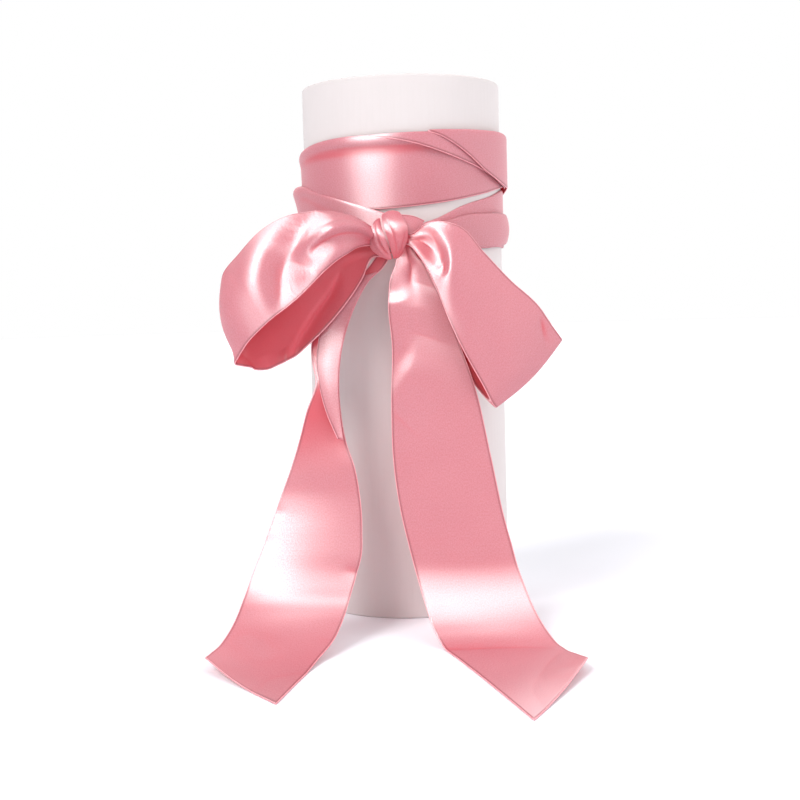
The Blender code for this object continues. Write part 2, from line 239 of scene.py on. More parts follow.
# The bead's two sizes are in metres, as its object is, and the other lengths in millimetres.
# HOLLOW_REACH is in grid steps, and FOLD_STEPS is how many points a fold's line is read at.
BEAD_RADIUS = 0.00036
BEAD_SPACING = 0.0011
MM_PER_M = 1000
MM_PER_CM = 10
SATIN_WALL = 0.9
PRESSED_EDGE = 0.6
THINNEST_SHARE = 0.2
FAR_FROM_SEAM = 9.0
# CREASE_DEPTH is the hollow in mm that gets the full share of painted crease shade.
CREASE_DEPTH = 0.35
CREASE_SHADE_SHARE = 0.8
HOLLOW_REACH = 3
FOLD_STEPS = 120
# Slow waves in the cloth: millimetres along and across it for each radian, and each one's shift.
SWAY_WAVES = ((19, 31, 1.0), (-47, 13, 2.1), (8.5, -11, 3.3))
# A place on a band round the cylinder: degrees, the heights and radii of the band's two edges, how far
# its middle stands out, and how far down its top edge is rolled in.
Turn = namedtuple("Turn", "angle low high low_radius high_radius bow top_roll", defaults=(0.0, 1.0))
# A point on a fold's line: its shares along and across the cloth, the fold's height there, and its reach
# on one side and on the other, where 0 means the same reach on both.
FoldPoint = namedtuple("FoldPoint", "along across height width far_width", defaults=(0.0,))


def column_shares(count):
    """Places across the strip, closer together at its two edges."""
    near_edge = np.array([0.0, 0.003, 0.008, 0.016])
    return np.concatenate([near_edge, np.linspace(0.03, 0.97, count - 8), 1.0 - near_edge[::-1]])


def smooth_rows(rows, place, wanted):
    """Rows of values read at the wanted places, along a smooth curve through them."""
    slopes = np.gradient(rows, place, axis=0)
    span = np.clip(np.searchsorted(place, wanted, side="right") - 1, 0, len(rows) - 2)
    width = (place[span + 1] - place[span])[:, None]
    part = (wanted[:, None] - place[span][:, None]) / width
    return ((2 * part**3 - 3 * part**2 + 1) * rows[span]
            + (part**3 - 2 * part**2 + part) * width * slopes[span]
            + (3 * part**2 - 2 * part**3) * rows[span + 1]
            + (part**3 - part**2) * width * slopes[span + 1])


def flat_places(surface):
    """How far each point of a grid is along and across the cloth, from its start and its middle line."""
    along = np.linalg.norm(np.diff(surface, axis=0), axis=2).mean(axis=1)
    steps = np.linalg.norm(np.diff(surface, axis=1), axis=2)
    across = np.concatenate([np.zeros((len(surface), 1)), np.cumsum(steps, axis=1)], axis=1)
    return np.concatenate([[0.0], np.cumsum(along)])[:, None] + 0 * across, across - across[:, -1:] / 2


def fold_heights(surface, folds):
    """How far soft ridges (plus) and troughs (minus) lift each point of a grid."""
    along, across = flat_places(surface)
    steps, width = along[:, 0], across[:, -1] * 2
    lift = np.zeros_like(along)
    for fold in folds:
        line = smooth_rows(np.array(fold, float), np.arange(len(fold), dtype=float),
                           np.linspace(0, len(fold) - 1, FOLD_STEPS))
        line_along = line[:, 0] * steps[-1]
        line_across = (line[:, 1] - 0.5) * np.interp(line_along, steps, width)
        from_line = along[:, :, None] - line_along, across[:, :, None] - line_across
        away = np.hypot(*from_line)
        nearest = away.argmin(axis=2)
        ahead_along, ahead_across = np.gradient(line_along)[nearest], np.gradient(line_across)[nearest]
        off_along, off_across = (np.take_along_axis(off, nearest[:, :, None], axis=2)[:, :, 0]
                                 for off in from_line)
        far_side = ahead_along * off_across - ahead_across * off_along > 0
        reach = np.where(far_side & (line[nearest, 4] > 0), line[nearest, 4], line[nearest, 3])
        lift += line[nearest, 2] * np.exp(-(away.min(axis=2) / reach) ** 2)
    return lift


def outward_of(surface):
    """The direction in which the outer face of a grid looks, at each point."""
    out = np.cross(np.gradient(surface, axis=0), np.gradient(surface, axis=1))
    return out / np.maximum(np.linalg.norm(out, axis=2, keepdims=True), 1e-9)


def drape(surface, folds, sway, sway_start):
    """A grid of cloth with its folds, and slow uneven waves of a fraction of a millimetre."""
    along, across = flat_places(surface)
    slow, crossing, quick = (np.sin(along / along_mm + across / across_mm + shift * sway_start)
                             for along_mm, across_mm, shift in SWAY_WAVES)
    waves = slow * crossing + 0.5 * quick
    return surface + outward_of(surface) * (fold_heights(surface, folds) + sway * waves)[:, :, None]


def rolled(height, roll):
    """How far a folded rim has curled inwards at a height from its end."""
    depth = np.clip(1.0 - height / np.maximum(roll, 1e-6), 0.0, 1.0)
    return roll * (1.0 - np.sqrt(1.0 - depth**2))


def turn_surface(turns, along, across, low_roll=0.0):
    """A band that lies round the cylinder: 0 degrees is in front, and 90 to the viewer's right."""
    table = np.array(sorted(turns), float)
    rows = smooth_rows(table, table[:, 0], np.linspace(table[0, 0], table[-1, 0], along))
    angle = np.radians(rows[:, :1])
    low, high, low_radius, high_radius, bow, top_roll = rows.T[1:, :, None]
    share = column_shares(across)[None, :]
    radius = (low_radius + (high_radius - low_radius) * share + bow * np.sin(math.pi * share)
              - rolled((high - low) * share, low_roll) - rolled((high - low) * (1 - share), top_roll))
    height = low + (high - low) * share
    return np.stack([radius * np.sin(angle), -radius * np.cos(angle), height], axis=2)


def hollows(surface, reach):
    """How deep each point lies below the mean of its neighbours, in mm along the outer face's direction."""
    mean = surface
    for axis in (0, 1):
        ends = [(reach, reach) if each == axis else (0, 0) for each in range(3)]
        wide = np.pad(mean, ends, mode="edge")
        mean = sum(np.take(wide, range(step, step + surface.shape[axis]), axis=axis)
                   for step in range(2 * reach + 1)) / (2 * reach + 1)
    return ((mean - surface) * outward_of(surface)).sum(axis=2)


def sew(name, surface, seams, nodes,
        outer_painted_shade=((0, 0), (1, 0)), inner_painted_shade=((0, 1), (1, 1))):
    """One stretch of the scarf from a grid of points: its two faces, its map of the flat cloth, and a
    bead along its seams, which are lists of "near", "far", "first" and "last" edges in walking order.
    Painted shade deepens its colour in creases, and as far as its two shade tables say at places along
    it; its distance to the seams places a painted shade line along them."""
    rows, columns = surface.shape[:2]
    along, across = flat_places(surface)
    half = across[:, -1:]
    edges = {"near": across + half, "far": half - across, "first": along, "last": along[-1:] - along}
    nearest_edge = np.minimum.reduce(list(edges.values()))
    sewn_edges = [edges[side] for seam in seams for side in seam]
    to_seam = np.minimum.reduce([*sewn_edges, np.full_like(along, FAR_FROM_SEAM)])
    pressed = np.sqrt(1.0 - (1.0 - np.clip(nearest_edge / PRESSED_EDGE, 0.0, 1.0)) ** 2)
    lift = outward_of(surface) * (SATIN_WALL / 2 * np.maximum(pressed, THINNEST_SHARE))[:, :, None]
    points = np.concatenate([(surface + lift).reshape(-1, 3), (surface - lift).reshape(-1, 3)]) / MM_PER_M
    corners = np.arange(rows * columns).reshape(rows, columns)
    outer = np.stack([corners[:-1, :-1], corners[1:, :-1], corners[1:, 1:], corners[:-1, 1:]], axis=2)
    outer = outer.reshape(-1, 4)
    rim = np.concatenate([corners[:, 0], corners[-1, 1:], corners[-2::-1, -1], corners[0, -2:0:-1]])
    after = np.roll(rim, -1)
    size = rows * columns
    rim_faces = np.stack([after, rim, rim + size, after + size], axis=1)
    faces = np.concatenate([outer, outer[:, ::-1] + size, rim_faces])
    mesh = bpy.data.meshes.new(name)
    mesh.from_pydata(points.tolist(), [], faces.tolist())
    # Painted shade: deeper red in hollows on each face, and along the stretch as its two shade tables say.
    crease = hollows(surface, HOLLOW_REACH) / CREASE_DEPTH
    walked = along / along[-1:]
    deep = []
    for shades, sign in ((outer_painted_shade, 1.0), (inner_painted_shade, -1.0)):
        painted_crease_shade = CREASE_SHADE_SHARE * np.clip(sign * crease, 0.0, 1.0)
        deep.append(np.clip(np.interp(walked, *zip(*shades)) + painted_crease_shade, 0.0, 1.0).ravel())
    for attribute, value in (("edge_mm", np.tile(to_seam.ravel(), 2)), ("painted_shade_pink", np.concatenate(deep))):
        mesh.attributes.new(attribute, "FLOAT", "POINT").data.foreach_set("value", value)
    flat = np.tile(np.stack([across, along], axis=2).reshape(-1, 2) / MM_PER_CM, (2, 1))
    loops = np.empty(len(mesh.loops), int)
    mesh.loops.foreach_get("vertex_index", loops)
    mesh.uv_layers.new(name="cloth").data.foreach_set("uv", flat[loops].ravel())
    mesh.shade_smooth()
    mesh.materials.append(satin)
    piece = bpy.data.objects.new(name, mesh)
    bpy.context.scene.collection.objects.link(piece)
    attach(piece, "root")
    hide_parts(*nodes)
    walks = {"near": surface[:, 0], "last": surface[-1],
             "far": surface[::-1, -1], "first": surface[0, ::-1]}
    for number, seam in enumerate(seams):
        walk = np.concatenate([walks[side] for side in seam]) / MM_PER_M
        line = bpy.data.meshes.new(f"{name}_seam")
        line.from_pydata(walk.tolist(), [(place, place + 1) for place in range(len(walk) - 1)], [])
        bead = bpy.data.objects.new(f"{name}_seam_{number + 1}", line)
        bpy.context.scene.collection.objects.link(bead)
        turned = bead.modifiers.new("turned_seam", "NODES")
        turned.node_group = seam_tree
        turned[seam_inputs["Bead Radius"]] = BEAD_RADIUS
        turned[seam_inputs["Point Spacing"]] = BEAD_SPACING
        made = bead.evaluated_get(bpy.context.evaluated_depsgraph_get())
        tube = bpy.data.meshes.new_from_object(made)
        bead.modifiers.clear()
        bead.data = tube
        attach(bead, "root")


INNER_TURN = (
    Turn(92, 254, 281, 61.0, 61.0),
    Turn(72, 252, 282, 61.0, 61.0),
    Turn(47, 247, 281, 61.0, 61.2),
    Turn(20, 242, 280, 61.0, 61.9),
    Turn(-5, 239.5, 280, 61.0, 62.3),
    Turn(-35, 239, 280, 61.0, 62.2),
    Turn(-66, 238, 278, 61.0, 61.8),
    Turn(-86, 237, 275, 61.0, 62.0),
    Turn(-100, 236, 272, 61.0, 61.5),
    Turn(-140, 229, 269, 61.0, 61.2, 0.4),
    Turn(-185, 222, 263, 61.0, 61.0, 0.5),
    Turn(-230, 218, 256, 61.0, 61.0, 0.4),
    Turn(-264, 217, 251.5, 61.0, 61.0),
    Turn(-280, 217, 251, 61.0, 61.0),
    Turn(-304, 217, 245.5, 61.0, 61.0),
    Turn(-325, 217, 240, 61.0, 61.0),
    Turn(-343, 217, 232, 61.6, 61.6),
    Turn(-357, 217, 228, 62.2, 62.2),
)
INNER_TURN_FOLDS = (
    (FoldPoint(0.56, 0.93, 0.0, 3, 2), FoldPoint(0.61, 0.93, 0.8, 3, 2),
     FoldPoint(0.68, 0.93, 1.6, 3.4, 2.2), FoldPoint(0.74, 0.93, 2.1, 3.6, 2.2),
     FoldPoint(0.78, 0.93, 1.6, 3.6, 2), FoldPoint(0.82, 0.93, 0.4, 3.4, 2)),
    (FoldPoint(0.64, 0.84, 0.0, 7, 3), FoldPoint(0.70, 0.845, -0.8, 9, 3),
     FoldPoint(0.75, 0.845, -1.3, 10, 3), FoldPoint(0.80, 0.83, -1.3, 10, 3),
     FoldPoint(0.84, 0.79, -0.7, 9, 3.5), FoldPoint(0.87, 0.75, 0.0, 8, 4)),
    (FoldPoint(0.62, 0.1, 0.0, 5), FoldPoint(0.67, 0.3, 0.35, 6), FoldPoint(0.71, 0.42, 0.0, 6)),
    (FoldPoint(0.18, 0.3, 0.0, 5), FoldPoint(0.27, 0.45, 0.6, 5), FoldPoint(0.37, 0.52, 0.7, 6),
     FoldPoint(0.46, 0.62, 0.0, 6)),
)
sew("satin_inner_turn",
    drape(turn_surface(INNER_TURN, along=400, across=34), INNER_TURN_FOLDS, sway=0.07, sway_start=0.3),
    seams=(("near",),), nodes=("upper_wrap", "back_wrap_under", "lower_right_wrap"))

# Upper turnover: the strip's top edge is turned down over its front, further and further to the right.
TURNOVER = (
    Turn(92, 253, 282, 62.6, 62.5),
    Turn(71, 254.5, 283, 62.6, 62.5),
    Turn(56, 259, 283, 62.6, 62.5),
    Turn(43, 263.3, 282.6, 62.6, 62.5),
    Turn(29, 268, 282.0, 62.9, 62.5),
    Turn(18, 271.8, 281.7, 63.6, 62.8),
    Turn(7, 275.4, 281.4, 64.0, 63.2),
    Turn(-6, 278.4, 281.0, 63.8, 63.2),
    Turn(-18, 279.9, 280.6, 63.0, 62.6),
)
sew("satin_upper_turnover",
    drape(turn_surface(TURNOVER, along=140, across=24), (), sway=0.06, sway_start=1.2),
    seams=(("near",),), nodes=("upper_wrap_turnover",))

# Outer turn: past the half turn at the right the same strip goes round the back and over the first
# turn, and reaches the knot from the left.
OUTER_TURN = (
    Turn(14, 282.1, 282.6, 63.0, 62.8),
    Turn(20, 280.0, 282.8, 63.8, 63.6),
    Turn(29, 275, 283, 64.0, 64.0),
    Turn(37, 269.5, 283.3, 64.1, 64.0),
    Turn(49, 261, 283.6, 64.2, 64.0),
    Turn(60, 256.5, 284, 64.2, 64.0),
    Turn(72, 253.5, 284, 64.2, 64.0),
    Turn(92, 252.5, 283, 64.0, 64.0),
    Turn(112, 247, 285, 63.2, 63.4, 0.4),
    Turn(145, 239, 281, 63.2, 63.4, 0.6),
    Turn(190, 232, 275, 63.2, 63.4, 0.6),
    Turn(230, 226, 267, 63.2, 63.6, 0.4),
    Turn(250, 223.2, 261, 63.2, 64.2, 0.0, 1.5),
    Turn(260, 221.8, 259, 63.2, 66.2, -0.6, 4.5),
    Turn(268, 220.6, 257.6, 63.0, 68.0, -1.4, 5.5),
    Turn(275, 220, 256.8, 62.8, 68.4, -1.7, 5.5),
    Turn(282, 219.3, 256.4, 62.4, 66.8, -1.0, 4.5),
    Turn(291, 218.4, 255, 62.1, 64.0, -0.3, 2.5),
    Turn(302, 217, 251.5, 62.1, 62.9, 0.0, 1.5),
    Turn(320, 215, 246.5, 62.1, 62.8),
    Turn(334, 214, 242, 62.2, 62.8),
    Turn(348, 215, 237, 62.8, 62.8),
    Turn(356, 216, 234, 63.2, 63.0),
)
OUTER_TURN_FOLDS = (
    (FoldPoint(0.28, 0.75, 0.0, 5), FoldPoint(0.38, 0.62, 0.9, 6), FoldPoint(0.5, 0.52, 1.1, 6),
     FoldPoint(0.62, 0.42, 0.6, 6), FoldPoint(0.7, 0.36, 0.0, 5)),
    (FoldPoint(0.44, 0.22, 0.0, 4), FoldPoint(0.55, 0.26, 0.8, 4), FoldPoint(0.67, 0.2, 0.0, 4)),
    (FoldPoint(0.3, 0.9, 0.0, 3), FoldPoint(0.4, 0.84, -0.5, 4), FoldPoint(0.52, 0.78, 0.0, 5)),
    (FoldPoint(0.78, 0.78, 0.0, 2.5), FoldPoint(0.83, 0.8, -0.35, 3), FoldPoint(0.9, 0.72, -0.4, 3),
     FoldPoint(0.97, 0.62, -0.2, 3)),
)
sew("satin_outer_turn",
    drape(turn_surface(OUTER_TURN, along=330, across=34), OUTER_TURN_FOLDS, sway=0.08, sway_start=2.2),
    seams=(("near",),), nodes=("upper_wrap_half_turn", "back_wrap_over", "lower_left_wrap"))

# Lower fold: at the right of the knot the strip's lower half is turned up over its front.
LOWER_FOLD = (
    Turn(122, 220.4, 221.4, 62.3, 62.3),
    Turn(110, 220, 228, 62.5, 62.5, 0.2),
    Turn(98, 219.6, 233, 62.6, 62.8, 0.8),
    Turn(86, 219, 235, 62.8, 63.4, 1.4),
    Turn(70, 217.5, 236.5, 63.0, 63.8, 1.2),
    Turn(50, 216, 236, 63.0, 63.4, 0.5),
    Turn(34, 215.6, 234.5, 63.2, 63.2),
    Turn(22, 216, 231.5, 64.0, 63.2),
    Turn(12, 216.5, 230, 64.2, 63.6),
    Turn(4, 217, 227, 64.2, 64.0),
)
sew("satin_lower_fold",
    drape(turn_surface(LOWER_FOLD, along=140, across=26, low_roll=1.4), (), sway=0.06, sway_start=3.1),
    seams=(("far",),), nodes=("lower_right_wrap_fold",))

# Knot: a strap of gathered satin over the front, a second one left of it, and the tip of a pleat that
# shows behind them on the right.

# A section of a free stretch: its two edge points, how far its middle stands out, the height of one
# S-shaped fold across it, and the height of its small pleats.
Section = namedtuple("Section", "first second bow fold gather", defaults=(0.0, 0.0, 0.0))
PLEATS = 3


def strip_surface(sections, along, across):
    """The middle surface of a free stretch of cloth."""
    rows = np.array([(*s.first, *s.second, s.bow, s.fold, s.gather) for s in sections], float)
    middles = (rows[:, 0:3] + rows[:, 3:6]) / 2
    place = np.concatenate([[0.0], np.cumsum(np.linalg.norm(np.diff(middles, axis=0), axis=1))])
    rows = smooth_rows(rows, place, np.linspace(0.0, place[-1], along))
    first, second = rows[:, 0:3], rows[:, 3:6]
    outward = np.cross(np.gradient((first + second) / 2, axis=0), second - first)
    outward = (outward / np.linalg.norm(outward, axis=1, keepdims=True))[:, None, :]
    share = column_shares(across)[None, :]
    bow, fold, gather = rows[:, 6:7], rows[:, 7:8], rows[:, 8:9]
    lift = (bow * np.sin(math.pi * share) + fold * np.sin(math.tau * share)
            + gather * np.sin(math.tau * PLEATS * share) * np.sin(math.pi * share))
    return first[:, None, :] + (second - first)[:, None, :] * share[:, :, None] + outward * lift[:, :, None]


FRONT_STRAP = (
    Section((-10.5, -64.3, 230.5), (-2.5, -65.0, 231.5), 0.6),
    Section((-12, -71, 234.5), (-2.5, -71, 236), 1.5),
    Section((-12, -77, 231.5), (0, -76.6, 232), 2.6),
    Section((-10.8, -81, 226.5), (2, -79, 227), 3.4),
    Section((-9, -82.4, 221), (1.8, -79.6, 221), 3.6),
    Section((-7.4, -81.5, 214.5), (-0.6, -79, 214.5), 2.0),
    Section((-6.2, -79.4, 210), (-3.2, -79, 210.4), 0.3),
)
FRONT_STRAP_FOLDS = (
    (FoldPoint(0.36, 0.22, 0.0, 0.8), FoldPoint(0.55, 0.24, -0.9, 1.0), FoldPoint(0.8, 0.32, -1.0, 1.0),
     FoldPoint(0.98, 0.45, -0.3, 0.7)),
    (FoldPoint(0.6, 0.82, 0.0, 0.8), FoldPoint(0.76, 0.74, -0.6, 0.9), FoldPoint(0.95, 0.62, -0.3, 0.7)),
)
# Painted shade: the strap darkens towards its lower end.
sew("satin_knot_front",
    drape(strip_surface(FRONT_STRAP, along=90, across=44), FRONT_STRAP_FOLDS, sway=0.05, sway_start=0.0),
    seams=(), nodes=("knot_front_strap",),
    outer_painted_shade=((0, 0.3), (0.4, 0.1), (0.6, 0.35), (0.8, 0.5), (1, 0.9)))

LEFT_STRAP = (
    Section((-15.4, -70, 232), (-13.2, -71.5, 233), 0.2),
    Section((-17.6, -75, 228.5), (-12.6, -78, 228.5), 1.6),
    Section((-19.6, -77.2, 222), (-10.5, -81.4, 222), 2.6),
    Section((-18.2, -77.4, 215.5), (-8.4, -80.6, 216.2), 2.2),
    Section((-13.4, -78, 211.6), (-7.4, -79.6, 212.4), 0.9),
    Section((-8.9, -78.2, 209.4), (-6.9, -78.8, 209.9), 0.0),
)
LEFT_STRAP_FOLDS = (
    (FoldPoint(0.15, 0.6, 0.0, 0.7), FoldPoint(0.38, 0.6, -1.1, 0.8), FoldPoint(0.62, 0.66, -2.2, 0.9),
     FoldPoint(0.78, 0.72, -1.6, 0.8), FoldPoint(0.9, 0.74, 0.0, 0.6)),
    (FoldPoint(0.25, 0.28, 0.0, 0.7), FoldPoint(0.5, 0.3, -0.9, 0.8), FoldPoint(0.75, 0.38, -0.6, 0.7),
     FoldPoint(0.9, 0.42, 0.0, 0.6)),
)
# Painted shade: the strap darkens at both ends.
sew("satin_knot_left",
    drape(strip_surface(LEFT_STRAP, along=70, across=40), LEFT_STRAP_FOLDS, sway=0.05, sway_start=1.0),
    seams=(), nodes=("knot_left_strap",),
    outer_painted_shade=((0, 0.5), (0.5, 0.15), (1, 0.6)))

TIP = (
    Section((1.5, -75.2, 217.5), (-4, -68.8, 235), 1.4),
    Section((6.6, -72.6, 224.6), (6, -68, 233.6), 1.2),
    Section((10.2, -70, 229), (11.8, -68.5, 231), 0.2),
)
sew("satin_knot_tip", drape(strip_surface(TIP, along=30, across=24), (), sway=0.0, sway_start=0.0),
    seams=(("far",),), nodes=("knot_tip",))

# Left loop: it swells out in front, turns at its left end and comes back behind, open below.
LEFT_LOOP = (
    Section((-18.0, -73.5, 228), (-18.4, -77, 218), 1.6),
    Section((-26, -78.5, 233), (-25.5, -87.5, 217), 5.0, -1.0),
    Section((-42, -80, 238), (-33, -97, 212), 8.6, -1.5),
    Section((-60, -79.5, 237), (-46, -103, 201), 11.0, -0.5),
    Section((-79, -79, 228), (-62, -101.5, 187), 11.0, 0.5),
    Section((-92, -80.5, 215), (-77, -99.5, 176), 9.3),
    Section((-102, -79.5, 203), (-90, -93.5, 163), 6.5),
    Section((-102.5, -76, 197), (-94, -86, 156), 4.5),
    Section((-96, -73, 192), (-88, -79, 150), 3.0),
    Section((-87, -72.5, 195), (-71, -77, 153), 2.4),
    Section((-72, -73, 206), (-55, -76.5, 164), 2.0),
    Section((-53, -72, 217), (-37, -76, 182), 1.5),
    Section((-33, -71.5, 224), (-24, -75.5, 200), 1.0),
    Section((-18.8, -71.8, 217.6), (-18.4, -73.6, 211), 0.3),
    Section((-11, -72.2, 216.5), (-11, -73.4, 211.4), 0.2),
)
LEFT_LOOP_FOLDS = (
    (FoldPoint(0.0, 0.62, 1.0, 2, 0.8), FoldPoint(0.055, 0.58, 3.2, 5, 1.0),
     FoldPoint(0.09, 0.60, 4.4, 7, 1.2), FoldPoint(0.13, 0.61, 4.8, 9, 1.4),
     FoldPoint(0.17, 0.61, 4.2, 9, 2.0), FoldPoint(0.20, 0.61, 2.8, 8, 3.4),
     FoldPoint(0.225, 0.64, 1.2, 7, 6), FoldPoint(0.25, 0.72, 0.0, 6, 6)),
    (FoldPoint(0.02, 0.44, -0.4, 1.8), FoldPoint(0.07, 0.47, -1.4, 2.6), FoldPoint(0.12, 0.49, -2.0, 3.6),
     FoldPoint(0.16, 0.46, -1.6, 4.6), FoldPoint(0.19, 0.42, 0.0, 5)),
    (FoldPoint(0.145, 0.05, -1.2, 9, 12), FoldPoint(0.184, 0.24, -5.0, 11, 16),
     FoldPoint(0.214, 0.37, -8.2, 12, 20), FoldPoint(0.24, 0.48, -9.8, 12, 24),
     FoldPoint(0.264, 0.57, -10.2, 12, 26), FoldPoint(0.286, 0.67, -9.2, 11, 26),
     FoldPoint(0.304, 0.79, -7.0, 10, 26), FoldPoint(0.32, 0.92, -4.2, 9, 26),
     FoldPoint(0.331, 1.04, -2.0, 9, 26)),
    (FoldPoint(0.0, 0.80, -0.6, 1.2), FoldPoint(0.035, 0.77, -1.4, 2.2), FoldPoint(0.08, 0.73, -1.6, 3.2),
     FoldPoint(0.13, 0.73, -1.4, 4.2), FoldPoint(0.17, 0.76, -0.4, 4.5)),
    (FoldPoint(0.0, 0.3, 0.5, 1.2), FoldPoint(0.05, 0.26, 0.9, 2.6), FoldPoint(0.11, 0.22, 1.0, 5),
     FoldPoint(0.18, 0.16, 0.2, 7)),
    (FoldPoint(0.04, 0.93, 0.4, 1.6), FoldPoint(0.12, 0.93, 0.9, 3), FoldPoint(0.22, 0.93, 0.8, 4),
     FoldPoint(0.33, 0.94, 0.3, 4)),
    (FoldPoint(0.87, 0.58, 0.0, 4, 1.2), FoldPoint(0.82, 0.69, 2.6, 6, 1.3),
     FoldPoint(0.75, 0.78, 3.2, 7, 1.5), FoldPoint(0.692, 0.90, 2.2, 6, 1.8),
     FoldPoint(0.66, 1.0, 1.0, 4, 2)),
    *((FoldPoint(along, 0.84, 0.0, 3), FoldPoint(along, 0.93, inside, 3.4),
       FoldPoint(along, 1.0, at_hem, 3.4))
      for along, inside, at_hem in ((0.53, 1.2, 2.6), (0.57, -1.2, -2.4), (0.61, 1.2, 2.6),
                                    (0.655, -0.8, -1.8))),
    (FoldPoint(0.98, 0.5, -0.5, 1.6), FoldPoint(0.90, 0.42, -1.2, 3), FoldPoint(0.80, 0.36, -0.8, 5),
     FoldPoint(0.70, 0.3, 0.0, 6)),
    (FoldPoint(0.50, 0.2, 0.0, 5), FoldPoint(0.58, 0.3, 1.0, 6), FoldPoint(0.66, 0.42, 0.8, 6),
     FoldPoint(0.74, 0.5, 0.0, 6)),
)
# Painted shade: deeper red beside the knot, and over the whole inner face as the red of light bouncing
# inside the loop.
sew("satin_left_loop",
    drape(strip_surface(LEFT_LOOP, along=300, across=72), LEFT_LOOP_FOLDS, sway=0.12, sway_start=0.7),
    seams=(("near",), ("far",)), nodes=("left_loop",),
    outer_painted_shade=((0, 0.5), (0.03, 0), (1, 0)),
    inner_painted_shade=((0, 1), (0.72, 1), (0.78, 0.85), (0.9, 0.9), (1, 1)))

# Right loop: it lies nearly flat, with a deep pleat beside the knot, and turns sharply at its end.
RIGHT_LOOP = (
    Section((-1, -77.0, 218.6), (-1, -73.6, 224.5), 0.4),
    Section((3.4, -78.4, 217), (5.2, -75, 223.5), 0.8),
    Section((9, -81, 210), (14, -76.5, 228), 1.0, 0.0, 0.2),
    Section((17, -85.6, 194), (30, -79.5, 226.5), 1.6),
    Section((24, -90, 175), (44, -80.5, 212), 3.0),
    Section((32, -92.6, 157), (59, -77.5, 196), 4.0),
    Section((42, -92.5, 138), (75, -73, 181), 4.5),
    Section((47, -90, 128), (84, -69, 168), 3.5),
    Section((48.8, -86, 125.6), (88.6, -66.5, 161.6), 2.5),
    Section((46.5, -81, 127.5), (84, -63.5, 166), 1.0),
    Section((38, -77.5, 138), (73, -64, 177), 0.0),
    Section((33, -73, 152), (56, -64, 193), 0.0),
    Section((22, -70.5, 174), (38, -66, 206), 0.0),
    Section((13, -70, 196), (21, -67, 218), 0.0, 0.0, 0.3),
    Section((4.5, -70.5, 212), (5, -68.2, 219), 0.0),
)
RIGHT_LOOP_FOLDS = (
    (FoldPoint(0.03, 1.0, 0.8, 1.4, 3), FoldPoint(0.06, 0.93, 2.2, 2.2, 5),
     FoldPoint(0.105, 0.76, 3.4, 3.4, 10), FoldPoint(0.14, 0.62, 4.0, 4.2, 14),
     FoldPoint(0.163, 0.48, 4.2, 4.4, 15), FoldPoint(0.170, 0.34, 3.8, 4.2, 14),
     FoldPoint(0.158, 0.22, 2.8, 3.8, 10), FoldPoint(0.135, 0.14, 1.4, 3.4, 7),
     FoldPoint(0.11, 0.1, 0.3, 3, 5)),
    (FoldPoint(0.02, 0.6, -0.8, 1.4), FoldPoint(0.06, 0.5, -2.4, 3.4), FoldPoint(0.09, 0.44, -2.6, 5),
     FoldPoint(0.118, 0.40, -1.6, 5), FoldPoint(0.135, 0.36, -0.4, 4)),
    (FoldPoint(0.01, 0.8, 0.4, 0.8), FoldPoint(0.04, 0.72, 1.0, 1.2, 1),
     FoldPoint(0.075, 0.62, 0.8, 1.6, 1.2), FoldPoint(0.1, 0.54, 0.0, 2)),
    (FoldPoint(0.08, 0.97, 0.0, 2), FoldPoint(0.13, 0.95, 0.7, 3), FoldPoint(0.2, 0.93, 0.4, 4),
     FoldPoint(0.28, 0.9, 0.0, 5)),
    (FoldPoint(0.2, 0.12, 0.0, 4), FoldPoint(0.3, 0.16, 0.7, 5), FoldPoint(0.42, 0.2, 0.0, 6)),
    (FoldPoint(0.44, 0.95, 0.0, 3), FoldPoint(0.47, 0.9, -1.2, 3), FoldPoint(0.5, 0.8, 0.0, 4)),
    (FoldPoint(0.97, 0.5, 0.6, 2), FoldPoint(0.88, 0.45, 1.4, 4), FoldPoint(0.76, 0.5, 1.0, 6),
     FoldPoint(0.64, 0.55, 0.0, 6)),
)
# Painted shade: deeper red beside the knot.
sew("satin_right_loop",
    drape(strip_surface(RIGHT_LOOP, along=290, across=72), RIGHT_LOOP_FOLDS, sway=0.12, sway_start=1.9),
    seams=(("near",), ("far",)), nodes=("right_loop",),
    outer_painted_shade=((0, 0.8), (0.08, 0.5), (0.12, 0), (1, 0)))

